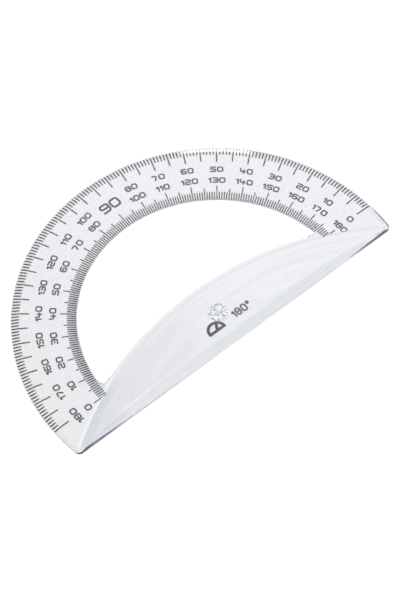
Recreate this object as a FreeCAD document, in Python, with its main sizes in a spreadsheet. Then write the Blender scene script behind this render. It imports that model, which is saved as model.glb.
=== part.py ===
"""Clear moulded half-circle protractor with a raised finger grip and two printed degree scales.

Units are millimetres. The origin is the centre of the scales, the angle vertex, on the underside.
+X points to zero on the outer scale, +Y points to ninety, and +Z points up, away from the paper.
"""
import FreeCAD, Part
import math
import os
import Sketcher
from FreeCAD import Placement, Rotation, Vector

# Alias in the sheet, value in millimetres or degrees, and what it is.
DRIVING_DIMENSIONS = [
    ("outer_radius", 75.0, "outer edge of the scale band"),
    ("inner_radius", 51.2, "edge of the opening"),
    ("base_drop", 12.7, "straight base edge below the vertex"),
    ("plate_thickness", 2.2, "flat of the scale band"),
    ("edge_thickness", 0.96, "thin end of each bevel"),
    ("bevel_width", 2.6, "bevels on both edges of the scale band"),
    ("corner_radius", 2.0, "plan radius of the two outer corners"),
    ("opening_corner_radius", 1.4, "plan radius where the band meets the grip"),
    ("bevel_stop", 6.0, "degrees above the zero line where the inner bevel stops"),
    ("grip_arc_radius", 129.1, "plan radius of the grip's long edge"),
    ("grip_reach", 13.1, "top of the grip's long edge above the vertex"),
    ("grip_height", 4.9, "top of the grip's crown, level with the base edge"),
    ("lip_width", 1.7, "from the opening to the foot of the grip's shoulder"),
    ("lip_bevel", 1.3, "bevel along the opening side of the grip"),
    ("lip_bevel_span", 43.0, "degrees about the grip's axis that this bevel covers"),
    ("foot_radius", 0.8, "hollow blend at the shoulder's foot"),
    ("shoulder_radius", 6.0, "rounded shoulder between the foot and the crown"),
    ("shoulder_slope", 27.0, "degrees, the steepest part of the shoulder, at its foot"),
    ("front_wall", 0.4, "upright front face along the base, in its middle"),
    ("front_run", 3.3, "how far back the sloping front goes for front_rise"),
    ("front_rise", 4.6, "how high the sloping front goes over front_run"),
    ("front_round", 2.5, "rounding between the sloping front and the crown"),
    ("front_sweep", 1150.0, "radius of the wide arc along which the upright face grows towards both ends"),
    ("front_sweep_span", 8.0, "degrees of that arc"),
    ("centre_recess_radius", 3.7, "round recess that marks the vertex"),
    ("centre_recess_depth", 0.7, "depth of that recess"),
    ("centre_recess_taper", 0.15, "how much narrower its ceiling is, at each side"),
    ("crosshair_reach", 2.7, "length of a crosshair arm from the vertex"),
    ("crosshair_width", 0.7, "width of a crosshair arm"),
    ("crosshair_depth", 0.8, "depth of the crosshair above the recess"),
    ("print_recess", 0.05, "depth of the printed recesses in the underside"),
    ("print_rim", 0.3, "plain rim along both edges of the band"),
    ("recess_drop", 4.0, "lower end of the band's printed recess below the vertex"),
    ("badge_recess_width", 24.0, "printed recess under the grip, along the base"),
    ("badge_recess_height", 6.4, "the same recess, across the base"),
    ("badge_drop", 4.9, "middle of that recess below the vertex"),
    ("badge_offset", 1.5, "middle of that recess to the right of the vertex"),
    ("ink_thickness", 0.03, "film of ink"),
    ("ink_level", 0.01, "lower side of the ink above the resting plane"),
    ("outer_tick_width", 0.46, "width of the outer scale's ticks"),
    ("inner_tick_width", 0.38, "width of the inner scale's ticks"),
    ("tick_inset", 0.4, "from an edge of the band to the ticks that start there"),
    ("outer_one_tick", 3.0, "one-degree tick of the outer scale"),
    ("outer_five_tick", 6.1, "five-degree tick of the outer scale"),
    ("outer_ten_tick", 6.5, "ten-degree tick of the outer scale"),
    ("inner_one_tick", 3.6, "one-degree tick of the inner scale"),
    ("inner_five_tick", 4.8, "five-degree tick of the inner scale"),
    ("inner_ten_tick", 6.1, "ten-degree tick of the inner scale"),
    ("outer_numeral_radius", 65.0, "middle of the outer numerals"),
    ("inner_numeral_radius", 59.9, "middle of the inner numerals"),
    ("numeral_height", 2.05, "small numerals, between stroke centres"),
    ("numeral_width", 1.84, "one small digit, between stroke centres"),
    ("numeral_stroke", 0.52, "stroke of the small numerals"),
    ("ninety_radius", 62.7, "middle of the shared ninety"),
    ("ninety_height", 3.5, "shared ninety, between stroke centres"),
    ("ninety_width", 3.35, "one of its digits, between stroke centres"),
    ("ninety_stroke", 0.74, "stroke of the shared ninety"),
    ("badge_sign_radius", 3.3, "half circle of the angle badge, at the middle of its stroke"),
    ("badge_sign_offset", -5.2, "middle of the half circle from the vertex"),
    ("badge_sign_drop", 5.7, "straight side of the half circle below the vertex"),
    ("badge_ray_angle", 60.0, "degrees of the ray inside the half circle"),
    ("badge_stroke", 1.1, "stroke of the half circle"),
    ("badge_figure_height", 2.7, "figures beside the half circle, between stroke centres"),
    ("badge_figure_width", 1.7, "one of those figures, between stroke centres"),
    ("badge_figure_stroke", 0.55, "stroke of those figures"),
    ("badge_figure_offset", 6.4, "middle of the figures from the vertex"),
    ("degree_ring_radius", 0.45, "small ring after the figures"),
    ("degree_ring_offset", 4.3, "ring's middle from the figures' middle"),
]

OVERRUN = 1.0  # how far a cutting profile runs past the material
ORIGIN_POINT = (-1, 1)
UPRIGHT_AXIS = -2
START, END, CENTRE = 1, 2, 3

# Digits as strokes in a unit square: each stroke is a list of corners, and "loop" closes it.
DIGIT_STROKES = {
    "0": [("loop", [(0, 0), (1, 0), (1, 1), (0, 1)])],
    "1": [("line", [(0, 0.72), (0.38, 1), (0.38, 0)])],
    "2": [("line", [(0, 1), (1, 1), (1, 0.5), (0, 0.5), (0, 0), (1, 0)])],
    "3": [("line", [(0, 1), (1, 1), (1, 0), (0, 0)]), ("line", [(0.25, 0.5), (1, 0.5)])],
    "4": [("line", [(0, 1), (0, 0.35), (1, 0.35)]), ("line", [(0.7, 0.75), (0.7, 0)])],
    "5": [("line", [(1, 1), (0, 1), (0, 0.52), (1, 0.52), (1, 0), (0, 0)])],
    "6": [("line", [(0.95, 1), (0, 1), (0, 0), (1, 0), (1, 0.52), (0.4, 0.52)]),
          ("line", [(0, 0.52), (0.6, 0.52)])],
    "7": [("line", [(0, 1), (1, 1), (0.4, 0)])],
    "8": [("loop", [(0, 0), (1, 0), (1, 1), (0, 1)]), ("line", [(0, 0.52), (1, 0.52)])],
    "9": [("line", [(0.05, 0), (1, 0), (1, 1), (0, 1), (0, 0.48), (0.6, 0.48)]),
          ("line", [(0.4, 0.48), (1, 0.48)])],
}
NARROW_DIGITS = {"1": 0.38}
DIGIT_CORNER = 0.26   # corner radius of a digit over its height
DIGIT_GAP = 0.14      # gap between digits over their height


# ---------------------------------------------------------------- document helpers

def make_sheet(doc):
    sheet = doc.addObject("Spreadsheet::Sheet", "Sheet")
    for row, (alias, value, meaning) in enumerate(DRIVING_DIMENSIONS, start=1):
        sheet.set(f"A{row}", meaning)
        sheet.set(f"B{row}", str(value))
        sheet.setAlias(f"B{row}", alias)
    doc.recompute()
    return sheet


def make_body(doc, label):
    body = doc.addObject("PartDesign::Body", label)
    body.Label = label
    body.AllowCompound = True
    return body


def origin_item(body, role):
    return next(item for item in body.Origin.OriginFeatures if item.Role == role)


def make_sketch(body, name, plane_role):
    """An empty sketch on one of the body's own origin planes."""
    sketch = body.newObject("Sketcher::SketchObject", name)
    sketch.AttachmentSupport = [(origin_item(body, plane_role), "")]
    sketch.MapMode = "FlatFace"
    return sketch


def add_line(sketch, start, end, construction=False):
    line = Part.LineSegment(Vector(*start, 0), Vector(*end, 0))
    return sketch.addGeometry(line, construction)


def add_arc(sketch, centre, radius, start_degrees, end_degrees):
    circle = Part.Circle(Vector(*centre, 0), Vector(0, 0, 1), radius)
    arc = Part.ArcOfCircle(circle, math.radians(start_degrees), math.radians(end_degrees))
    return sketch.addGeometry(arc, False)


def relate(sketch, kind, *places):
    sketch.addConstraint(Sketcher.Constraint(kind, *places))


def value_of(expression):
    """What an expression on the sheet comes to now."""
    return float(FreeCAD.ActiveDocument.Sheet.evalExpression(expression.replace("Sheet.", "")))


def drive(sketch, name, expression, kind, *places):
    """A named dimension whose value comes from the sheet."""
    index = sketch.addConstraint(Sketcher.Constraint(kind, *places, value_of(expression)))
    sketch.renameConstraint(index, name)
    sketch.setExpression(f"Constraints.{name}", expression)


def add_polygon(sketch, points):
    """A closed chain of lines. Line n runs from point n to the next one."""
    count = len(points)
    lines = [add_line(sketch, points[n], points[(n + 1) % count]) for n in range(count)]
    for n in range(count):
        relate(sketch, "Coincident", lines[n], END, lines[(n + 1) % count], START)
    return lines


def add_marker(sketch, name, across, up):
    """A construction point at sheet-driven distances from the sketch origin."""
    marker = sketch.addGeometry(Part.Point(Vector(value_of(across), value_of(up), 0)), True)
    drive(sketch, f"{name}_across", across, "DistanceX", *ORIGIN_POINT, marker, START)
    drive(sketch, f"{name}_up", up, "DistanceY", *ORIGIN_POINT, marker, START)
    return marker


def add_pocket(body, name, sketch, depth=None):
    """Cuts upwards from the underside, through everything if no depth is given."""
    pocket = body.newObject("PartDesign::Pocket", name)
    pocket.Profile = sketch
    pocket.Reversed = True
    if depth is None:
        pocket.Type = "ThroughAll"
    else:
        pocket.setExpression("Length", depth)
    return pocket


def add_groove(body, name, sketch, axis, span=None):
    """A revolved cut, all the way round or over a span centred on the sketch."""
    groove = body.newObject("PartDesign::Groove", name)
    groove.Profile = sketch
    groove.ReferenceAxis = axis
    if span is None:
        groove.Angle = 360.0
    else:
        groove.Midplane = True
        groove.setExpression("Angle", span)
    return groove


def check_cut(doc, body, feature, volume_before):
    """Recomputes and makes sure that the feature took material away. Returns the new volume."""
    doc.recompute()
    volume = body.Shape.Volume
    if not volume < volume_before - 1e-6:
        raise RuntimeError(f"{feature.Name} removed nothing: {volume_before} to {volume}")
    return volume


def upright_edges(shape, reach_low, reach_high, above=-math.inf):
    """Names of the straight vertical edges whose distance from the vertex is in a range."""
    names = []
    for number, edge in enumerate(shape.Edges, start=1):
        ends = [vertex.Point for vertex in edge.Vertexes]
        if len(ends) != 2 or abs(ends[0].x - ends[1].x) + abs(ends[0].y - ends[1].y) > 1e-6:
            continue
        reach = math.hypot(ends[0].x, ends[0].y)
        if reach_low < reach < reach_high and ends[0].y > above:
            names.append(f"Edge{number}")
    return names


# ---------------------------------------------------------------- the clear moulding

def sketch_blank(body, size):
    """Half disc with its straight base edge below the vertex."""
    sketch = make_sketch(body, "blank_outline", "XY_Plane")
    dip = math.degrees(math.asin(size.base_drop / size.outer_radius))
    rim = add_arc(sketch, (0, 0), size.outer_radius, -dip, 180 + dip)
    half = math.sqrt(size.outer_radius ** 2 - size.base_drop ** 2)
    base = add_line(sketch, (-half, -size.base_drop), (half, -size.base_drop))
    relate(sketch, "Coincident", rim, CENTRE, *ORIGIN_POINT)
    relate(sketch, "Coincident", rim, END, base, START)
    relate(sketch, "Coincident", base, END, rim, START)
    relate(sketch, "Horizontal", base)
    drive(sketch, "rim_radius", "Sheet.outer_radius", "Radius", rim)
    drive(sketch, "drop", "Sheet.base_drop", "DistanceY", base, START, *ORIGIN_POINT)
    return sketch


def sketch_crown(body, size):
    """Everything above the grip and the flat band, seen along the base edge.

    The outline runs over a level crown, a rounded shoulder and a hollow foot to the flat. It turns about the
    grip's own upright axis, which is construction line 0.
    """
    sketch = make_sketch(body, "crown_profile", "YZ_Plane")
    axis_at = size.grip_reach - size.grip_arc_radius
    slope = math.radians(size.shoulder_slope)
    foot_at = size.grip_reach - size.lip_width
    foot_centre = (foot_at, size.plate_thickness + size.foot_radius)
    reach = size.foot_radius + size.shoulder_radius
    shoulder_centre = (foot_at - reach * math.sin(slope), foot_centre[1] - reach * math.cos(slope))
    run = shoulder_centre[0] + size.base_drop
    drop = size.grip_height - shoulder_centre[1]
    crown_radius = (run ** 2 + drop ** 2 - size.shoulder_radius ** 2) / (2 * (drop - size.shoulder_radius))
    crown_centre = (-size.base_drop, size.grip_height - crown_radius)
    lean = math.degrees(math.asin(run / (crown_radius - size.shoulder_radius)))
    top = size.grip_height + 2 * OVERRUN
    far = size.outer_radius + OVERRUN
    near = -size.base_drop - OVERRUN

    axis = add_line(sketch, (axis_at, 0), (axis_at, top), construction=True)
    summit = add_line(sketch, (near, size.grip_height), (-size.base_drop, size.grip_height))
    crown = add_arc(sketch, crown_centre, crown_radius, 90 - lean, 90)
    shoulder = add_arc(sketch, shoulder_centre, size.shoulder_radius, 90 - size.shoulder_slope, 90 - lean)
    foot = add_arc(sketch, foot_centre, size.foot_radius, 270 - size.shoulder_slope, 270)
    flat = add_line(sketch, (foot_at, size.plate_thickness), (far, size.plate_thickness))
    back = add_line(sketch, (far, size.plate_thickness), (far, top))
    roof = add_line(sketch, (far, top), (near, top))
    front = add_line(sketch, (near, top), (near, size.grip_height))

    relate(sketch, "Vertical", axis)
    relate(sketch, "PointOnObject", axis, START, -1)
    drive(sketch, "axis_place", "Sheet.grip_arc_radius - Sheet.grip_reach",
          "DistanceX", axis, START, *ORIGIN_POINT)
    drive(sketch, "axis_length", "Sheet.grip_height", "DistanceY", axis, START, axis, END)
    relate(sketch, "Tangent", summit, END, crown, END)
    relate(sketch, "Tangent", crown, START, shoulder, END)
    relate(sketch, "Tangent", shoulder, START, foot, START)
    relate(sketch, "Tangent", foot, END, flat, START)
    for first, second in ((flat, back), (back, roof), (roof, front), (front, summit)):
        relate(sketch, "Coincident", first, END, second, START)
    for line in (summit, flat, roof):
        relate(sketch, "Horizontal", line)
    for line in (back, front):
        relate(sketch, "Vertical", line)
    drive(sketch, "foot_size", "Sheet.foot_radius", "Radius", foot)
    drive(sketch, "shoulder_size", "Sheet.shoulder_radius", "Radius", shoulder)
    drive(sketch, "foot_place", "Sheet.grip_reach - Sheet.lip_width", "DistanceX", *ORIGIN_POINT, foot, END)
    drive(sketch, "foot_run", "Sheet.foot_radius * sin(Sheet.shoulder_slope)",
          "DistanceX", foot, START, foot, END)
    drive(sketch, "summit_up", "Sheet.grip_height", "DistanceY", *ORIGIN_POINT, summit, END)
    drive(sketch, "summit_place", "Sheet.base_drop", "DistanceX", summit, END, *ORIGIN_POINT)
    drive(sketch, "summit_run", f"{OVERRUN}", "DistanceX", summit, START, summit, END)
    drive(sketch, "flat_up", "Sheet.plate_thickness", "DistanceY", *ORIGIN_POINT, flat, END)
    drive(sketch, "flat_end", f"Sheet.outer_radius + {OVERRUN}", "DistanceX", *ORIGIN_POINT, flat, END)
    drive(sketch, "roof_up", f"Sheet.grip_height + {2 * OVERRUN}", "DistanceY", *ORIGIN_POINT, roof, END)
    return sketch


def sketch_front_slope(body, size):
    """The space in front of the grip's sloping front, above a low upright face, seen along the base edge.

    A small rounding joins the slope to the crown. The profile turns about a line high above the base,
    construction line 0, so that it climbs towards both ends.
    """
    sketch = make_sketch(body, "front_slope_profile", "YZ_Plane")
    edge_at = -size.base_drop
    outside = edge_at - OVERRUN
    top = size.grip_height + OVERRUN
    axis_up = size.front_wall + size.front_sweep
    slope_angle = math.atan2(size.front_rise, size.front_run)
    centre_up = size.grip_height - size.front_round
    touch_up = centre_up + size.front_round * math.cos(slope_angle)
    touch_at = edge_at + (touch_up - size.front_wall) / math.tan(slope_angle)
    centre_at = touch_at + size.front_round * math.sin(slope_angle)

    axis = add_line(sketch, (edge_at, axis_up), (0, axis_up), construction=True)
    ledge = add_line(sketch, (edge_at, size.front_wall), (outside, size.front_wall))
    wall = add_line(sketch, (outside, size.front_wall), (outside, top))
    roof = add_line(sketch, (outside, top), (centre_at, top))
    back = add_line(sketch, (centre_at, top), (centre_at, size.grip_height))
    rounding = add_arc(sketch, (centre_at, centre_up), size.front_round, 90, 90 + math.degrees(slope_angle))
    slope = add_line(sketch, (touch_at, touch_up), (edge_at, size.front_wall))

    for first, second in ((ledge, wall), (wall, roof), (roof, back), (back, rounding), (slope, ledge)):
        relate(sketch, "Coincident", first, END, second, START)
    relate(sketch, "Tangent", rounding, END, slope, START)
    relate(sketch, "Vertical", rounding, START, rounding, CENTRE)
    relate(sketch, "PointOnObject", axis, END, UPRIGHT_AXIS)
    for line in (axis, ledge, roof):
        relate(sketch, "Horizontal", line)
    for line in (wall, back):
        relate(sketch, "Vertical", line)
    brow = add_marker(sketch, "brow", "Sheet.front_run - Sheet.base_drop",
                      "Sheet.front_wall + Sheet.front_rise")
    relate(sketch, "PointOnObject", brow, START, slope)
    drive(sketch, "axis_length", "Sheet.base_drop", "DistanceX", axis, START, axis, END)
    drive(sketch, "axis_up", "Sheet.front_wall + Sheet.front_sweep", "DistanceY", *ORIGIN_POINT, axis, END)
    drive(sketch, "ledge_across", "Sheet.base_drop", "DistanceX", ledge, START, *ORIGIN_POINT)
    drive(sketch, "ledge_up", "Sheet.front_wall", "DistanceY", *ORIGIN_POINT, ledge, START)
    drive(sketch, "outside", f"Sheet.base_drop + {OVERRUN}", "DistanceX", wall, START, *ORIGIN_POINT)
    drive(sketch, "top", f"Sheet.grip_height + {OVERRUN}", "DistanceY", *ORIGIN_POINT, roof, START)
    drive(sketch, "round_size", "Sheet.front_round", "Radius", rounding)
    drive(sketch, "round_up", "Sheet.grip_height - Sheet.front_round",
          "DistanceY", *ORIGIN_POINT, rounding, CENTRE)
    return sketch


def sketch_outer_bevel(body, size):
    """The space outside a cone through the thin edge and the top of the bevel."""
    sketch = make_sketch(body, "outer_bevel_profile", "XZ_Plane")
    slope = (size.plate_thickness - size.edge_thickness) / size.bevel_width
    top = size.grip_height + 2 * OVERRUN
    outside = size.outer_radius + OVERRUN
    low = (outside, size.edge_thickness - slope * OVERRUN)
    high = (size.outer_radius - (top - size.edge_thickness) / slope, top)
    cone, roof, wall = add_polygon(sketch, [low, high, (outside, top)])
    relate(sketch, "Horizontal", roof)
    relate(sketch, "Vertical", wall)
    edge = add_marker(sketch, "edge", "Sheet.outer_radius", "Sheet.edge_thickness")
    brow = add_marker(sketch, "brow", "Sheet.outer_radius - Sheet.bevel_width", "Sheet.plate_thickness")
    relate(sketch, "PointOnObject", edge, START, cone)
    relate(sketch, "PointOnObject", brow, START, cone)
    drive(sketch, "outside", f"Sheet.outer_radius + {OVERRUN}", "DistanceX", *ORIGIN_POINT, wall, END)
    drive(sketch, "top", f"Sheet.grip_height + {2 * OVERRUN}", "DistanceY", *ORIGIN_POINT, roof, END)
    return sketch


def sketch_opening(body, size):
    """The opening between the band and the grip."""
    sketch = make_sketch(body, "opening_outline", "XY_Plane")
    centre_up = size.grip_reach - size.grip_arc_radius
    meet_up = (size.grip_arc_radius ** 2 - size.inner_radius ** 2 - centre_up ** 2) / (-2 * centre_up)
    band_degrees = math.degrees(math.asin(meet_up / size.inner_radius))
    grip_degrees = math.degrees(math.asin((meet_up - centre_up) / size.grip_arc_radius))
    band = add_arc(sketch, (0, 0), size.inner_radius, band_degrees, 180 - band_degrees)
    grip = add_arc(sketch, (0, centre_up), size.grip_arc_radius, grip_degrees, 180 - grip_degrees)
    relate(sketch, "Coincident", band, CENTRE, *ORIGIN_POINT)
    relate(sketch, "PointOnObject", grip, CENTRE, UPRIGHT_AXIS)
    relate(sketch, "Coincident", band, START, grip, START)
    relate(sketch, "Coincident", band, END, grip, END)
    drive(sketch, "band_radius", "Sheet.inner_radius", "Radius", band)
    drive(sketch, "grip_radius", "Sheet.grip_arc_radius", "Radius", grip)
    drive(sketch, "grip_place", "Sheet.grip_arc_radius - Sheet.grip_reach",
          "DistanceY", grip, CENTRE, *ORIGIN_POINT)
    return sketch


def sketch_edge_bevel(body, name, size, edge_across, brow_across, towards):
    """A wedge above a bevel that falls from the flat towards the opening, on the side plane.

    towards is -1 if the opening lies nearer the vertex than the material, and 1 if it lies further.
    """
    sketch = make_sketch(body, name, "YZ_Plane")
    edge_at = value_of(edge_across)
    brow_at = value_of(brow_across)
    slope = (size.plate_thickness - size.edge_thickness) / (brow_at - edge_at)
    outside = edge_at + towards * OVERRUN
    top = size.plate_thickness + OVERRUN
    low = (outside, size.edge_thickness + slope * (outside - edge_at))
    points = [low, (brow_at, size.plate_thickness), (brow_at, top), (outside, top)]
    bevel, rise, roof, wall = add_polygon(sketch, points)
    relate(sketch, "Vertical", rise)
    relate(sketch, "Horizontal", roof)
    relate(sketch, "Vertical", wall)
    edge = add_marker(sketch, "edge", edge_across, "Sheet.edge_thickness")
    relate(sketch, "PointOnObject", edge, START, bevel)
    drive(sketch, "brow_across", brow_across, "DistanceX", *ORIGIN_POINT, rise, START)
    drive(sketch, "brow_up", "Sheet.plate_thickness", "DistanceY", *ORIGIN_POINT, rise, START)
    drive(sketch, "outside", f"{edge_across} + {towards * OVERRUN}", "DistanceX", *ORIGIN_POINT, wall, END)
    drive(sketch, "top", f"Sheet.plate_thickness + {OVERRUN}", "DistanceY", *ORIGIN_POINT, roof, END)
    return sketch


def sketch_centre_recess(body, size):
    """Half section of the round recess at the vertex, with a slightly leaning side."""
    sketch = make_sketch(body, "centre_recess_profile", "XZ_Plane")
    ceiling = size.centre_recess_radius - size.centre_recess_taper
    points = [(0, 0), (size.centre_recess_radius, 0), (ceiling, size.centre_recess_depth),
              (0, size.centre_recess_depth)]
    floor, side, top, middle = add_polygon(sketch, points)
    relate(sketch, "Coincident", floor, START, *ORIGIN_POINT)
    relate(sketch, "Horizontal", floor)
    relate(sketch, "Horizontal", top)
    relate(sketch, "Vertical", middle)
    drive(sketch, "mouth", "Sheet.centre_recess_radius", "DistanceX", floor, START, floor, END)
    drive(sketch, "depth", "Sheet.centre_recess_depth", "DistanceY", *ORIGIN_POINT, side, END)
    drive(sketch, "ceiling", "Sheet.centre_recess_radius - Sheet.centre_recess_taper",
          "DistanceX", *ORIGIN_POINT, side, END)
    return sketch


def sketch_rectangle(body, name, left, right, low, high):
    """An upright rectangle on the underside. Its four sides are sheet expressions."""
    sketch = make_sketch(body, name, "XY_Plane")
    x1, x2, y1, y2 = (value_of(side) for side in (left, right, low, high))
    floor, wall, top, back = add_polygon(sketch, [(x1, y1), (x2, y1), (x2, y2), (x1, y2)])
    for line in (floor, top):
        relate(sketch, "Horizontal", line)
    for line in (wall, back):
        relate(sketch, "Vertical", line)
    drive(sketch, "left", left, "DistanceX", *ORIGIN_POINT, back, START)
    drive(sketch, "right", right, "DistanceX", *ORIGIN_POINT, wall, START)
    drive(sketch, "low", low, "DistanceY", *ORIGIN_POINT, floor, START)
    drive(sketch, "high", high, "DistanceY", *ORIGIN_POINT, top, START)
    return sketch


def sketch_scale_recess(body, size):
    """The printed part of the band: a half ring that runs a little way below the zero line."""
    sketch = make_sketch(body, "scale_recess_outline", "XY_Plane")
    outer_radius = size.outer_radius - size.print_rim
    inner_radius = size.inner_radius + size.print_rim
    low = -size.recess_drop
    outer_dip = math.degrees(math.asin(size.recess_drop / outer_radius))
    inner_dip = math.degrees(math.asin(size.recess_drop / inner_radius))
    outer_half = math.sqrt(outer_radius ** 2 - low ** 2)
    inner_half = math.sqrt(inner_radius ** 2 - low ** 2)
    outer = add_arc(sketch, (0, 0), outer_radius, -outer_dip, 180 + outer_dip)
    inner = add_arc(sketch, (0, 0), inner_radius, -inner_dip, 180 + inner_dip)
    right = add_line(sketch, (inner_half, low), (outer_half, low))
    left = add_line(sketch, (-outer_half, low), (-inner_half, low))
    for arc in (outer, inner):
        relate(sketch, "Coincident", arc, CENTRE, *ORIGIN_POINT)
    relate(sketch, "Coincident", inner, START, right, START)
    relate(sketch, "Coincident", right, END, outer, START)
    relate(sketch, "Coincident", outer, END, left, START)
    relate(sketch, "Coincident", left, END, inner, END)
    relate(sketch, "Horizontal", right)
    relate(sketch, "Horizontal", left)
    drive(sketch, "outer_size", "Sheet.outer_radius - Sheet.print_rim", "Radius", outer)
    drive(sketch, "inner_size", "Sheet.inner_radius + Sheet.print_rim", "Radius", inner)
    drive(sketch, "right_drop", "Sheet.recess_drop", "DistanceY", right, START, *ORIGIN_POINT)
    drive(sketch, "left_drop", "Sheet.recess_drop", "DistanceY", left, START, *ORIGIN_POINT)
    return sketch


def add_fillet(doc, body, name, base, edges, radius):
    if not edges:
        raise RuntimeError(f"{name} found no edges")
    fillet = body.newObject("PartDesign::Fillet", name)
    fillet.Base = (base, edges)
    fillet.setExpression("Radius", radius)
    doc.recompute()
    return fillet


def build_moulding(doc, size):
    body = make_body(doc, "clear_moulding")
    blank = body.newObject("PartDesign::Pad", "blank")
    blank.Profile = sketch_blank(body, size)
    blank.setExpression("Length", f"Sheet.grip_height + {OVERRUN}")
    doc.recompute()
    outer_corners = upright_edges(blank.Shape, size.outer_radius - 0.01, size.outer_radius + 0.01)
    add_fillet(doc, body, "outer_corners", blank, outer_corners, "Sheet.corner_radius")
    volume = body.Shape.Volume

    profile = sketch_crown(body, size)
    crown = add_groove(body, "crown", profile, (profile, ["Axis0"]))
    volume = check_cut(doc, body, crown, volume)

    profile = sketch_front_slope(body, size)
    front_slope = add_groove(body, "front_slope", profile, (profile, ["Axis0"]), "Sheet.front_sweep_span")
    volume = check_cut(doc, body, front_slope, volume)

    profile = sketch_outer_bevel(body, size)
    outer_bevel = add_groove(body, "outer_bevel", profile, (profile, ["V_Axis"]))
    volume = check_cut(doc, body, outer_bevel, volume)

    opening = add_pocket(body, "opening", sketch_opening(body, size))
    volume = check_cut(doc, body, opening, volume)
    inner_corners = upright_edges(opening.Shape, size.inner_radius - 0.01, size.inner_radius + 0.01)
    add_fillet(doc, body, "opening_corners", opening, inner_corners, "Sheet.opening_corner_radius")
    volume = body.Shape.Volume

    profile = sketch_edge_bevel(body, "inner_bevel_profile", size, "Sheet.inner_radius",
                                "Sheet.inner_radius + Sheet.bevel_width", -1)
    inner_bevel = add_groove(body, "inner_bevel", profile, (profile, ["V_Axis"]),
                             "180 - 2 * Sheet.bevel_stop")
    volume = check_cut(doc, body, inner_bevel, volume)

    profile = sketch_edge_bevel(body, "lip_bevel_profile", size, "Sheet.grip_reach",
                                "Sheet.grip_reach - Sheet.lip_bevel", 1)
    grip_axis = add_line(profile, (size.grip_reach - size.grip_arc_radius, 0),
                         (size.grip_reach - size.grip_arc_radius, size.plate_thickness), construction=True)
    relate(profile, "Vertical", grip_axis)
    relate(profile, "PointOnObject", grip_axis, START, -1)
    drive(profile, "axis_place", "Sheet.grip_arc_radius - Sheet.grip_reach",
          "DistanceX", grip_axis, START, *ORIGIN_POINT)
    drive(profile, "axis_length", "Sheet.plate_thickness", "DistanceY", grip_axis, START, grip_axis, END)
    lip_bevel = add_groove(body, "lip_bevel", profile, (profile, ["Axis0"]), "Sheet.lip_bevel_span")
    volume = check_cut(doc, body, lip_bevel, volume)

    profile = sketch_centre_recess(body, size)
    centre_recess = add_groove(body, "centre_recess", profile, (profile, ["V_Axis"]))
    volume = check_cut(doc, body, centre_recess, volume)

    arm = sketch_rectangle(body, "crosshair_outline", "-Sheet.crosshair_reach", "Sheet.crosshair_reach",
                           "-Sheet.crosshair_width / 2", "Sheet.crosshair_width / 2")
    crosshair = add_pocket(body, "crosshair", arm, "Sheet.centre_recess_depth + Sheet.crosshair_depth")
    volume = check_cut(doc, body, crosshair, volume)
    cross = add_polar_pattern(body, "cross", [crosshair], 90, 2)
    volume = check_cut(doc, body, cross, volume)

    scale_recess = add_pocket(body, "scale_recess", sketch_scale_recess(body, size), "Sheet.print_recess")
    volume = check_cut(doc, body, scale_recess, volume)

    badge_field = sketch_rectangle(body, "badge_recess_outline",
                                   "Sheet.badge_offset - Sheet.badge_recess_width / 2",
                                   "Sheet.badge_offset + Sheet.badge_recess_width / 2",
                                   "-Sheet.badge_drop - Sheet.badge_recess_height / 2",
                                   "-Sheet.badge_drop + Sheet.badge_recess_height / 2")
    badge_recess = add_pocket(body, "badge_recess", badge_field, "Sheet.print_recess")
    check_cut(doc, body, badge_recess, volume)
    return body


# ---------------------------------------------------------------- printed ticks

def add_polar_pattern(body, name, originals, degrees, count):
    """Copies features about the vertex, and makes the pattern the body's tip."""
    pattern = body.newObject("PartDesign::PolarPattern", name)
    pattern.Originals = originals
    pattern.Axis = (origin_item(body, "Z_Axis"), [""])
    pattern.Angle = degrees
    pattern.Occurrences = count
    body.Tip = pattern
    return pattern


def add_tick(body, name, near, far, width, at_degrees):
    """One tick of ink, lying along the ray at an angle."""
    sketch = sketch_rectangle(body, f"{name}_outline", near, far, f"-{width} / 2", f"{width} / 2")
    sketch.AttachmentOffset = Placement(Vector(0, 0, 0), Rotation(Vector(0, 0, 1), at_degrees))
    sketch.setExpression(".AttachmentOffset.Base.z", "Sheet.ink_level")
    tick = body.newObject("PartDesign::Pad", name)
    tick.Profile = sketch
    tick.setExpression("Length", "Sheet.ink_thickness")
    return tick


def build_ticks(doc, label, near, far, width, first_degrees, step, count):
    """A body of equal ticks. first_degrees lists the ticks that the pattern repeats at each step."""
    body = make_body(doc, label)
    ticks = [add_tick(body, f"{label}_{degrees}", near, far, width, degrees) for degrees in first_degrees]
    doc.recompute()
    add_polar_pattern(body, f"{label}_round", ticks, step * (count - 1), count)
    doc.recompute()
    return body


def build_scale_ticks(doc, scale):
    """The one, five and ten-degree ticks of one scale, which start at its own edge of the band."""
    lengths = {"one": ([1, 2, 3, 4], 5, 36), "five": ([5], 10, 18), "ten": ([0], 10, 19)}
    bodies = []
    for size_name, (first_degrees, step, count) in lengths.items():
        if scale == "outer":
            far = "Sheet.outer_radius - Sheet.tick_inset"
            near = f"Sheet.outer_radius - Sheet.outer_{size_name}_tick"
        else:
            near = "Sheet.inner_radius + Sheet.tick_inset"
            far = f"Sheet.inner_radius + Sheet.inner_{size_name}_tick"
        label = f"{scale}_{size_name}_degree_ticks"
        width = f"Sheet.{scale}_tick_width"
        bodies.append(build_ticks(doc, label, near, far, width, first_degrees, step, count))
    return bodies


# ---------------------------------------------------------------- printed numerals

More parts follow.
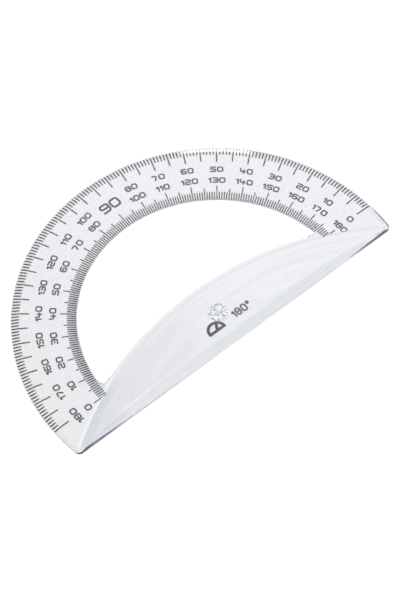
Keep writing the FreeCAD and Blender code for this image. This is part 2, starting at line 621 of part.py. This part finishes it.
def rounded_wire(points, radius, closed):
    """A chain of lines through the points, with its corners rounded."""
    count = len(points)
    corners = range(count) if closed else range(1, count - 1)
    trimmed = {}
    for n in corners:
        here = Vector(*points[n], 0)
        back = Vector(*points[n - 1], 0) - here
        ahead = Vector(*points[(n + 1) % count], 0) - here
        half_turn = back.getAngle(ahead) / 2
        reach = min(radius / math.tan(half_turn), 0.48 * back.Length, 0.48 * ahead.Length)
        middle = (back.normalize() + ahead.normalize()).normalize()
        bend = reach * math.tan(half_turn)
        nearest = here + middle * (math.hypot(reach, bend) - bend)
        trimmed[n] = (here + back * reach, nearest, here + ahead * reach)
    edges = []
    for n in range(count if closed else count - 1):
        following = (n + 1) % count
        start = trimmed[n][2] if n in trimmed else Vector(*points[n], 0)
        end = trimmed[following][0] if following in trimmed else Vector(*points[following], 0)
        edges.append(Part.makeLine(start, end))
        if following in trimmed:
            edges.append(Part.Arc(*trimmed[following]).toShape())
    return Part.Wire(Part.__sortEdges__(edges))


def bar_outline(start, end, half_width):
    """The outline of a straight stroke with round ends."""
    along = (end - start).normalize() * half_width
    side = Vector(-along.y, along.x, 0)
    near_cap = Part.Arc(start + side, start - along, start - side).toShape()
    far_cap = Part.Arc(end - side, end + along, end + side).toShape()
    sides = [Part.makeLine(start - side, end - side), Part.makeLine(end + side, start + side)]
    return Part.Wire([near_cap, sides[0], far_cap, sides[1]])


def stroke_solid(wire, stroke, ink):
    """The ink laid by a pen of a given width along a wire in the plane."""
    if wire.isClosed():
        outside = wire.makeOffset2D(stroke / 2)
        inside = wire.makeOffset2D(-stroke / 2)
        face = Part.Face(outside).cut(Part.Face(inside))
    elif len(wire.Edges) == 1:
        start, end = (vertex.Point for vertex in wire.Edges[0].Vertexes)
        face = Part.Face(bar_outline(start, end, stroke / 2))
    else:
        face = Part.Face(wire.makeOffset2D(stroke / 2))
    return face.extrude(Vector(0, 0, ink))


def digit_solid(digit, width, height, stroke, ink):
    pieces = []
    for kind, corners in DIGIT_STROKES[digit]:
        points = [(x * width, y * height) for x, y in corners]
        wire = rounded_wire(points, DIGIT_CORNER * height, kind == "loop")
        pieces.append(stroke_solid(wire, stroke, ink))
    solid = pieces[0]
    if len(pieces) > 1:
        solid = pieces[0].fuse(pieces[1:]).removeSplitter()
    return solid.Solids[0]


def number_solids(text, width, height, stroke, ink):
    """The digits of a number side by side, centred on the origin and upright."""
    widths = [width * NARROW_DIGITS.get(digit, 1.0) for digit in text]
    step = stroke + DIGIT_GAP * height
    across = -(sum(widths) + step * (len(text) - 1)) / 2
    solids = []
    for digit, digit_width in zip(text, widths):
        solid = digit_solid(digit, width, height, stroke, ink)
        solid.translate(Vector(across, -height / 2, 0))
        solids.append(solid)
        across += digit_width + step
    return solids


def set_on_band(solids, degrees, radius):
    """Turns an upright number so that its top faces outwards, and moves it out along its ray."""
    turn = Rotation(Vector(0, 0, 1), degrees - 90)
    away = Vector(radius, 0, 0)
    spot = Rotation(Vector(0, 0, 1), degrees).multVec(away)
    return [solid.transformGeometry(Placement(spot, turn).toMatrix()) for solid in solids]


def add_print(doc, label, solids, ink_level):
    """A Part feature that holds a group of separate solids of ink."""
    feature = doc.addObject("Part::Feature", label)
    feature.Label = label
    feature.Shape = Part.makeCompound(solids)
    feature.Placement = Placement(Vector(0, 0, ink_level), Rotation())
    return feature


def build_numerals(doc, size, label, radius, reversed_scale):
    solids = []
    for value in range(0, 181, 10):
        if value == 90:
            continue
        number = number_solids(str(value), size.numeral_width, size.numeral_height,
                               size.numeral_stroke, size.ink_thickness)
        degrees = 180 - value if reversed_scale else value
        solids += set_on_band(number, degrees, radius)
    return add_print(doc, label, solids, size.ink_level)


def build_ninety(doc, size):
    number = number_solids("90", size.ninety_width, size.ninety_height,
                           size.ninety_stroke, size.ink_thickness)
    return add_print(doc, "shared_ninety", set_on_band(number, 90, size.ninety_radius), size.ink_level)


def badge_sign(size):
    """A plain half circle with one ray."""
    radius = size.badge_sign_radius
    right, top, left = Vector(radius, 0, 0), Vector(0, radius, 0), Vector(-radius, 0, 0)
    outline = Part.Wire([Part.Arc(right, top, left).toShape(), Part.makeLine(left, right)])
    ray_end = Rotation(Vector(0, 0, 1), size.badge_ray_angle).multVec(right)
    ray = Part.Wire([Part.makeLine(Vector(0, 0, 0), ray_end)])
    pieces = [stroke_solid(wire, size.badge_stroke, size.ink_thickness) for wire in (outline, ray)]
    sign = pieces[0].fuse(pieces[1]).removeSplitter().Solids[0]
    sign.translate(Vector(size.badge_sign_offset, -size.badge_sign_drop, 0))
    return sign


def badge_figures(size):
    """180 degrees in thin figures."""
    solids = number_solids("180", size.badge_figure_width, size.badge_figure_height,
                           size.badge_figure_stroke, size.ink_thickness)
    half_stroke = size.badge_figure_stroke / 2
    middle = Vector(size.degree_ring_offset, size.badge_figure_height / 2 - size.degree_ring_radius, 0)
    disc = Part.makeCylinder(size.degree_ring_radius + half_stroke, size.ink_thickness, middle)
    hole = Part.makeCylinder(size.degree_ring_radius - half_stroke, size.ink_thickness, middle)
    solids.append(disc.cut(hole).Solids[0])
    shift = Vector(size.badge_figure_offset, size.badge_figure_height / 2 - size.badge_sign_drop, 0)
    for solid in solids:
        solid.translate(shift)
    return solids


def build_badge(doc, size):
    return add_print(doc, "angle_badge", [badge_sign(size)] + badge_figures(size), size.ink_level)


# ---------------------------------------------------------------- checking and writing

def check_objects(doc, parts):
    for item in doc.Objects:
        if "Invalid" in item.State or "Error" in item.State:
            raise RuntimeError(f"{item.Name} failed: {item.State}")
    for item in parts:
        if item.Shape.isNull() or not item.Shape.isValid():
            raise RuntimeError(f"{item.Label} has no valid shape")
        print(item.Label, len(item.Shape.Solids), "solids", round(item.Shape.Volume, 3), "mm3")


def main():
    doc = FreeCAD.newDocument("protractor")
    size = make_sheet(doc)
    parts = [build_moulding(doc, size)]
    parts += build_scale_ticks(doc, "outer")
    parts += build_scale_ticks(doc, "inner")
    parts.append(build_numerals(doc, size, "outer_numerals", size.outer_numeral_radius, False))
    parts.append(build_numerals(doc, size, "inner_numerals", size.inner_numeral_radius, True))
    parts.append(build_ninety(doc, size))
    parts.append(build_badge(doc, size))
    doc.recompute()
    check_objects(doc, parts)
    os.makedirs("parts", exist_ok=True)
    for item in parts:
        item.Shape.exportStep(f"parts/{item.Label}.step")


main()
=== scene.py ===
"""Looks for the clear protractor: polished plastic, printed ink, a white sweep and soft studio light."""
import math

import bpy
from mathutils import Matrix, Vector


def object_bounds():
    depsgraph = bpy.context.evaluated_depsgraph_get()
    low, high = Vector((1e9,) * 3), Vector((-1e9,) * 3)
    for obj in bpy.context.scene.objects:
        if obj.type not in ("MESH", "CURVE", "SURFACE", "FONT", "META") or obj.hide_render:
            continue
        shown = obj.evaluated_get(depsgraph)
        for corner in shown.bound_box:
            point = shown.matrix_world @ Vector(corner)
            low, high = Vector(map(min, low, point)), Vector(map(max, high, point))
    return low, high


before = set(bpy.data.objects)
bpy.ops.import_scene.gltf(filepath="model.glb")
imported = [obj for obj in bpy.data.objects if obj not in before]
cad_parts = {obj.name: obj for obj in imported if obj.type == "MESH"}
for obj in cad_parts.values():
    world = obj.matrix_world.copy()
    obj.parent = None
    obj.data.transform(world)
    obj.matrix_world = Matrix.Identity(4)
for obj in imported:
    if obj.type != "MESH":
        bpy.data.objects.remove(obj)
cad_low, cad_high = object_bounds()

MOULDING = "clear_moulding"

# Camera, in the frame's own terms: where it looks, and from where.
AIM = Vector((-0.0009, 0.0089, 0.0))
AZIMUTH_DEGREES = -40.74
ELEVATION_DEGREES = 57.58
ROLL_DEGREES = 0.61
DISTANCE = 0.648
LENS_MM = 106.6
SHARPEST = Vector((-0.050, 0.010, 0.001))
F_STOP = 40.0

# Studio: brightness by height, where 0 is the horizon and 1 is straight above, and a small low light behind.
STUDIO_STRENGTH = 1.2
STUDIO_STOPS = ((0.0, (0.18, 0.20, 0.23)), (0.36, (0.22, 0.25, 0.29)),
                (0.58, (0.85, 0.87, 0.89)), (0.80, (1.25, 1.25, 1.25)))
BACK_LIGHT_DIRECTION = (0.652, 0.757, 0.035)
BACK_LIGHT_DEGREES = (6.5, 4.0)  # half width of the light, at its soft edge and its core
BACK_LIGHT_POWER = 7.0

# Floor and ink. A noise scale here or below is per metre.
FLOOR_GAP = 0.0001
FLOOR_HALF = 3.0
GRAIN_SCALE = 400.0
MOTTLE_SCALE = 2500.0

# Plastic. After DEEPEST_RAY bounces inside it the light is taken as evenly mixed.
DEEPEST_RAY = 7.0
MIXED_LIGHT = (0.60, 0.65, 0.73, 1)
DEPTH_COLOR = (0.25, 0.38, 0.62, 1)
DEPTH_DENSITY = 6.0
WEAR_SCALE = 900.0
MOST_ROUGHNESS = 0.012
# Band and crown tints: the plastic's own grey, with painted shade that darkens it towards the left end.
BAND_TINT_AND_SHADE = ((0.765, 0.770, 0.775, 1), (0.808, 0.818, 0.834, 1))  # left end, right end
CROWN_TINT_AND_SHADE = ((0.64, 0.645, 0.64, 1), (0.885, 0.888, 0.90, 1))
HAZE_SCALE = 60.0
HAZE_SHARE = 0.3
STREAKS_PER_METRE = 340.0
STREAKS_PER_RADIAN = 4.0
STREAK_SHARE = 0.10
STREAK_HEIGHT = 0.00015
REFLECTION_FLECK_SCALE = 1300.0
REFLECTION_FLECK_RANGE = (0.51, 0.58)

# Places on the moulding, in metres and radians. A pair is where a mask is 0 and where it is 1.
GRIP_AXIS = (0.0, -0.116, 0.0)
GRIP_LEVEL = (0.0023, 0.0029)
STREAK_LEVEL = (0.0023, 0.0031)
STREAK_RANGE = (0.38, 0.64)
BAND_SHADE_SPAN = (-0.080, 0.040)
CROWN_SHADE_SPAN = (-0.075, 0.022)
FRONT_SLOPE = (-0.0092, -0.0098)
FRONT_LEFT_END = (-0.058, -0.046)
ABOVE_FLOOR = (0.0003, 0.0005)
SHOULDER_INSIDE = (0.1236, 0.1248)
SHOULDER_OUTSIDE = (0.1274, 0.1268)
FOOT_INSIDE = (0.1270, 0.1274)
FOOT_OUTSIDE = (0.1284, 0.1279)
LEFT_END_TURN = (-0.35, -0.43)
UPPER_SIDE = (0.0015, 0.0018)
OPENING_INSIDE = (0.0508, 0.0511)
OPENING_OUTSIDE = (0.0550, 0.0540)
ABOVE_GRIP = (0.0008, 0.0016)
LEFT_SIDE = (-0.020, -0.040)
RIGHT_SIDE = (0.0, 0.01)
CORNER_RIM_REACH = (0.0741, 0.0745)
BELOW_ZERO_TICK = (0.001, -0.006)
FAR_RIM_REACH = (0.0745, 0.0747)
FAR_RIM_RIGHT = (0.034, 0.040)
FAR_RIM_UPPER = (0.030, 0.042)
UPRIGHT_NORMAL = (0.2, 0.05)
BASE_FACE = (-0.0112, -0.0118)
DARK_END = (0.046, 0.060)
CENTRE_MARK_REACH = (0.0038, 0.0037)
CENTRE_MARK_LEVEL = (0.0017, 0.0016)


# ------------------------------------------------------------ node helpers

class Graph:
    """The node tree of a material or world, with short ways to add and join nodes."""

    def __init__(self, owner):
        owner.use_nodes = True
        self.nodes = owner.node_tree.nodes
        self.links = owner.node_tree.links
        self.nodes.clear()

    def feed(self, socket, value):
        """Links an output to a socket, or sets the socket if the value is plain."""
        if isinstance(value, bpy.types.NodeSocket):
            self.links.new(value, socket)
        else:
            socket.default_value = value

    def add(self, kind, **inputs):
        node = self.nodes.new(kind)
        for name, value in inputs.items():
            self.feed(node.inputs[name.replace("_", " ")], value)
        return node

    def shader(self, kind, **inputs):
        return self.add(kind, **inputs).outputs[0]

    def calc(self, operation, first, second=0.0):
        node = self.nodes.new("ShaderNodeMath")
        node.operation = operation
        self.feed(node.inputs[0], first)
        self.feed(node.inputs[1], second)
        return node.outputs[0]

    def vector_calc(self, operation, first, second, result="Vector"):
        node = self.nodes.new("ShaderNodeVectorMath")
        node.operation = operation
        self.feed(node.inputs[0], first)
        self.feed(node.inputs[1], second)
        return node.outputs[result]

    def flat_length(self, vector):
        """Length of a vector seen from above."""
        flat = self.vector_calc("MULTIPLY", vector, (1.0, 1.0, 0.0))
        return self.vector_calc("LENGTH", flat, (0.0, 0.0, 0.0), "Value")

    def split(self, vector):
        return tuple(self.add("ShaderNodeSeparateXYZ", Vector=vector).outputs)

    def times(self, first, *others):
        for other in others:
            first = self.calc("MULTIPLY", first, other)
        return first

    def fade(self, value, start, end):
        """0 up to start and 1 from end on, or the other way round if start is the larger."""
        node = self.nodes.new("ShaderNodeMapRange")
        node.interpolation_type = "SMOOTHSTEP"
        self.feed(node.inputs["Value"], value)
        node.inputs["From Min"].default_value = min(start, end)
        node.inputs["From Max"].default_value = max(start, end)
        node.inputs["To Min"].default_value = 0.0 if start < end else 1.0
        node.inputs["To Max"].default_value = 1.0 if start < end else 0.0
        return node.outputs["Result"]

    def mask(self, *fades):
        """1 where every fade is 1. Each is a value and its pair of limits."""
        return self.times(*(self.fade(value, *limits) for value, limits in fades))

    def spread(self, value, low, high):
        """Maps 0 to 1 onto low to high."""
        node = self.nodes.new("ShaderNodeMapRange")
        self.feed(node.inputs["Value"], value)
        node.inputs["To Min"].default_value = low
        node.inputs["To Max"].default_value = high
        return node.outputs["Result"]

    def noise(self, place, scale, detail=2.0):
        return self.add("ShaderNodeTexNoise", Vector=place, Scale=scale, Detail=detail).outputs["Fac"]

    def mix_colors(self, factor, first, second):
        node = self.nodes.new("ShaderNodeMix")
        node.data_type = "RGBA"
        self.feed(node.inputs[0], factor)
        self.feed(node.inputs[6], first)
        self.feed(node.inputs[7], second)
        return node.outputs[2]

    def mix_shaders(self, factor, first, second):
        node = self.nodes.new("ShaderNodeMixShader")
        self.feed(node.inputs[0], factor)
        self.feed(node.inputs[1], first)
        self.feed(node.inputs[2], second)
        return node.outputs[0]


def new_material(name):
    material = bpy.data.materials.new(name)
    return material, Graph(material)


class Point:
    """A shaded point: its place, its distance from the vertex, and its place about the grip's own axis."""

    def __init__(self, graph):
        geometry = graph.add("ShaderNodeNewGeometry")
        self.position = geometry.outputs["Position"]
        self.x, self.y, self.z = graph.split(self.position)
        self.reach = graph.flat_length(self.position)
        offset = graph.vector_calc("SUBTRACT", self.position, GRIP_AXIS)
        across, along, _ = graph.split(offset)
        self.grip_reach = graph.flat_length(offset)
        self.grip_turn = graph.calc("ARCTAN2", across, along)
        slope = graph.split(geometry.outputs["True Normal"])[2]
        self.upright = graph.fade(graph.calc("ABSOLUTE", slope), *UPRIGHT_NORMAL)


# ------------------------------------------------------------ materials

def grip_streaks(graph, point):
    """Soft moulding streaks that run along the grip: a surface height that varies across it."""
    polar = graph.add("ShaderNodeCombineXYZ",
                      X=graph.times(point.grip_reach, STREAKS_PER_METRE),
                      Y=graph.times(point.grip_turn, STREAKS_PER_RADIAN))
    ridges = graph.noise(polar.outputs[0], 1.0, 3.0)
    return graph.times(ridges, graph.fade(point.z, *STREAK_LEVEL))


def end_shade_mask(graph, point):
    """1 on the upright base face towards both corners, where painted shade makes it navy to black."""
    ends = graph.mask((point.y, BASE_FACE), (graph.calc("ABSOLUTE", point.x), DARK_END))
    return graph.times(point.upright, ends)


def plastic_tint_and_painted_light(graph, point, streaks, end_shade):
    """The plastic's own grey under painted shade, darker and warmer at the left end and lighter and cooler at
    the right, with small painted highlights and shade.
    """
    haze = graph.times(graph.noise(point.position, HAZE_SCALE), HAZE_SHARE)
    across = graph.calc("ADD", graph.fade(point.x, *BAND_SHADE_SPAN), haze)
    band = graph.mix_colors(across, *BAND_TINT_AND_SHADE)
    crown = graph.mix_colors(graph.fade(point.x, *CROWN_SHADE_SPAN), *CROWN_TINT_AND_SHADE)
    streaky = graph.times(graph.fade(streaks, *STREAK_RANGE), STREAK_SHARE)
    streaked = graph.mix_colors(streaky, crown, (0, 0, 0, 1))
    tint_with_painted_light = graph.mix_colors(graph.fade(point.z, *GRIP_LEVEL), band, streaked)

    left_end = graph.mask((point.grip_turn, LEFT_END_TURN), (point.z, UPPER_SIDE))
    # Painted highlight: the front slope is made lighter.
    front_highlight = graph.mask((point.y, FRONT_SLOPE), (point.z, ABOVE_FLOOR), (point.x, FRONT_LEFT_END))
    # Painted shade: a dark teal band on the grip's shoulder at the left end.
    shoulder_shade = graph.mask((point.grip_reach, SHOULDER_INSIDE), (point.grip_reach, SHOULDER_OUTSIDE))
    # Painted highlight: a pale line along the foot of the shoulder at the left end.
    foot_highlight = graph.mask((point.grip_reach, FOOT_INSIDE), (point.grip_reach, FOOT_OUTSIDE))
    # Painted shade: dark blue on the band by the opening, on the left side above the grip.
    opening_shade = graph.mask((point.reach, OPENING_INSIDE), (point.reach, OPENING_OUTSIDE),
                         (point.x, LEFT_SIDE), (point.y, ABOVE_GRIP))
    # Painted shade: a dark line on the outer rim at the right corner, below the zero tick.
    corner_rim_shade = graph.mask((point.reach, CORNER_RIM_REACH), (point.x, RIGHT_SIDE),
                            (point.y, BELOW_ZERO_TICK))
    zones = (  # where, and how strongly, each colour takes over
        (front_highlight, (0.855, 0.862, 0.868, 1)),
        (graph.times(shoulder_shade, left_end, 0.8), (0.50, 0.57, 0.575, 1)),
        (graph.times(foot_highlight, left_end), (0.94, 0.95, 0.96, 1)),
        (graph.times(opening_shade, 0.3), (0.30, 0.30, 0.42, 1)),
        (graph.times(corner_rim_shade, 0.8), (0.12, 0.13, 0.16, 1)),
        (end_shade, (0.03, 0.03, 0.10, 1)),
    )
    for zone, color in zones:
        tint_with_painted_light = graph.mix_colors(zone, tint_with_painted_light, color)
    return tint_with_painted_light


def plastic_surface(graph, point):
    """Polished plastic with slightly matt upright faces, painted reflections on the centre mark and a painted
    grey shade line along the far rim.
    """
    streaks = grip_streaks(graph, point)
    end_shade = end_shade_mask(graph, point)
    roughness = graph.spread(graph.noise(point.position, WEAR_SCALE, 4.0), 0.0, MOST_ROUGHNESS)
    bump = graph.add("ShaderNodeBump", Strength=0.5, Distance=STREAK_HEIGHT, Height=streaks)
    polished = graph.shader("ShaderNodeBsdfPrincipled", IOR=1.5, Transmission_Weight=1.0,
                            Base_Color=plastic_tint_and_painted_light(graph, point, streaks, end_shade),
                            Roughness=roughness, Normal=bump.outputs[0])

    # Painted reflections: the centre mark's recess drawn as a pale disc with dark flecks.
    reflection_flecks = graph.fade(graph.noise(point.position, REFLECTION_FLECK_SCALE, 1.0), *REFLECTION_FLECK_RANGE)
    painted_reflection_color = graph.mix_colors(reflection_flecks, (0.97, 0.97, 0.97, 1), (0.20, 0.21, 0.23, 1))
    centre_mark = graph.mask((point.reach, CENTRE_MARK_REACH), (point.z, CENTRE_MARK_LEVEL))
    matt_face = graph.times(point.upright, graph.calc("SUBTRACT", 1.0, end_shade))
    # Painted shade: a fine grey line along the outer rim at the far right.
    far_rim_shade = graph.mask((point.reach, FAR_RIM_REACH), (point.x, FAR_RIM_RIGHT), (point.y, FAR_RIM_UPPER))
    zones = (  # where, and how strongly, each matt colour takes over
        (graph.times(centre_mark, 0.75), painted_reflection_color),
        (graph.times(matt_face, 0.6), (0.80, 0.81, 0.84, 1)),
        (graph.times(far_rim_shade, 0.8), (0.40, 0.42, 0.47, 1)),
    )
    surface = polished
    for zone, color in zones:
        surface = graph.mix_shaders(zone, surface, graph.shader("ShaderNodeBsdfDiffuse", Color=color))
    return surface


def clear_plastic():
    """Clear plastic: it bends and reflects camera light, absorbs along long paths and lets lamp light by."""
    material, graph = new_material("clear_plastic")
    path = graph.add("ShaderNodeLightPath")
    deep = graph.calc("GREATER_THAN", path.outputs["Ray Depth"], DEEPEST_RAY)
    mixed = graph.shader("ShaderNodeEmission", Color=MIXED_LIGHT, Strength=1.0)
    seen = graph.mix_shaders(deep, plastic_surface(graph, Point(graph)), mixed)
    soft_ray = graph.calc("MAXIMUM", path.outputs["Is Shadow Ray"], path.outputs["Is Diffuse Ray"])
    passing = graph.shader("ShaderNodeBsdfTransparent", Color=(0.99, 0.99, 0.99, 1))
    depth = graph.shader("ShaderNodeVolumeAbsorption", Color=DEPTH_COLOR, Density=DEPTH_DENSITY)
    graph.add("ShaderNodeOutputMaterial", Surface=graph.mix_shaders(soft_ray, seen, passing), Volume=depth)
    return material


def printed_ink():
    """Matt black print with a faint mottle, as a screen leaves it."""
    material, graph = new_material("black_ink")
    mottle = graph.noise(graph.add("ShaderNodeNewGeometry").outputs["Position"], MOTTLE_SCALE, 3.0)
    color = graph.mix_colors(mottle, (0.006, 0.006, 0.009, 1), (0.016, 0.016, 0.022, 1))
    roughness = graph.spread(mottle, 0.4, 0.6)
    ink = graph.shader("ShaderNodeBsdfPrincipled", Base_Color=color, Roughness=roughness)
    graph.add("ShaderNodeOutputMaterial", Surface=ink)
    return material


def white_floor():
    """White card with a barely visible grain."""
    material, graph = new_material("white_sweep")
    grain = graph.noise(graph.add("ShaderNodeNewGeometry").outputs["Position"], GRAIN_SCALE, 4.0)
    color = graph.mix_colors(grain, (0.955, 0.945, 0.94, 1), (0.965, 0.955, 0.95, 1))
    graph.add("ShaderNodeOutputMaterial", Surface=graph.shader("ShaderNodeBsdfDiffuse", Color=color))
    return material


# ------------------------------------------------------------ stage, light and camera

def make_floor():
    near, far = -FLOOR_HALF, FLOOR_HALF
    level = cad_low.z - FLOOR_GAP
    corners = [(near, near, level), (far, near, level), (far, far, level), (near, far, level)]
    mesh = bpy.data.meshes.new("sweep")
    mesh.from_pydata(corners, [], [(0, 1, 2, 3)])
    floor = bpy.data.objects.new("sweep", mesh)
    bpy.context.scene.collection.objects.link(floor)
    mesh.materials.append(white_floor())


def studio_color(graph, height):
    ramp = graph.add("ShaderNodeValToRGB", Fac=height)
    while len(ramp.color_ramp.elements) < len(STUDIO_STOPS):
        ramp.color_ramp.elements.new(0.5)
    for element, (position, color) in zip(ramp.color_ramp.elements, STUDIO_STOPS):
        element.position = position
        element.color = (*color, 1)
    return ramp.outputs[0]


def make_world():
    """A dark band round the horizon under a bright ceiling, and a small low back light.

    The back light is what lights up the outer bevel between 37 and 57 degrees.
    """
    world = bpy.data.worlds.new("studio")
    bpy.context.scene.world = world
    graph = Graph(world)
    direction = graph.add("ShaderNodeTexCoord").outputs["Generated"]
    height = graph.split(direction)[2]
    studio = graph.shader("ShaderNodeBackground", Color=studio_color(graph, height), Strength=STUDIO_STRENGTH)

    aimed = graph.vector_calc("DOT_PRODUCT", direction, BACK_LIGHT_DIRECTION, "Value")
    edge, core = (math.cos(math.radians(angle)) for angle in BACK_LIGHT_DEGREES)
    spot = graph.times(graph.fade(aimed, edge, core), BACK_LIGHT_POWER)
    both = graph.nodes.new("ShaderNodeAddShader")
    graph.feed(both.inputs[0], studio)
    graph.feed(both.inputs[1], graph.shader("ShaderNodeBackground", Strength=spot))
    graph.add("ShaderNodeOutputWorld", Surface=both.outputs[0])


def make_camera():
    azimuth, elevation = math.radians(AZIMUTH_DEGREES), math.radians(ELEVATION_DEGREES)
    back = Vector((math.sin(azimuth) * math.cos(elevation),
                   -math.cos(azimuth) * math.cos(elevation), math.sin(elevation)))
    data = bpy.data.cameras.new("camera")
    data.lens = LENS_MM
    data.sensor_width = 36.0
    data.clip_start = 0.01
    camera = bpy.data.objects.new("camera", data)
    bpy.context.scene.collection.objects.link(camera)
    turn = (-back).to_track_quat("-Z", "Y").to_matrix().to_4x4()
    roll = Matrix.Rotation(math.radians(ROLL_DEGREES), 4, "Z")
    place = AIM + back * DISTANCE
    camera.matrix_world = Matrix.Translation(place) @ turn @ roll
    data.dof.use_dof = True
    data.dof.focus_distance = (place - SHARPEST).dot(back)
    data.dof.aperture_fstop = F_STOP
    bpy.context.scene.camera = camera


plastic = clear_plastic()
ink = printed_ink()
for name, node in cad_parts.items():
    node.data.materials.clear()
    node.data.materials.append(plastic if name == MOULDING else ink)

make_floor()
make_world()
make_camera()
bpy.context.scene.view_settings.view_transform = "Standard"
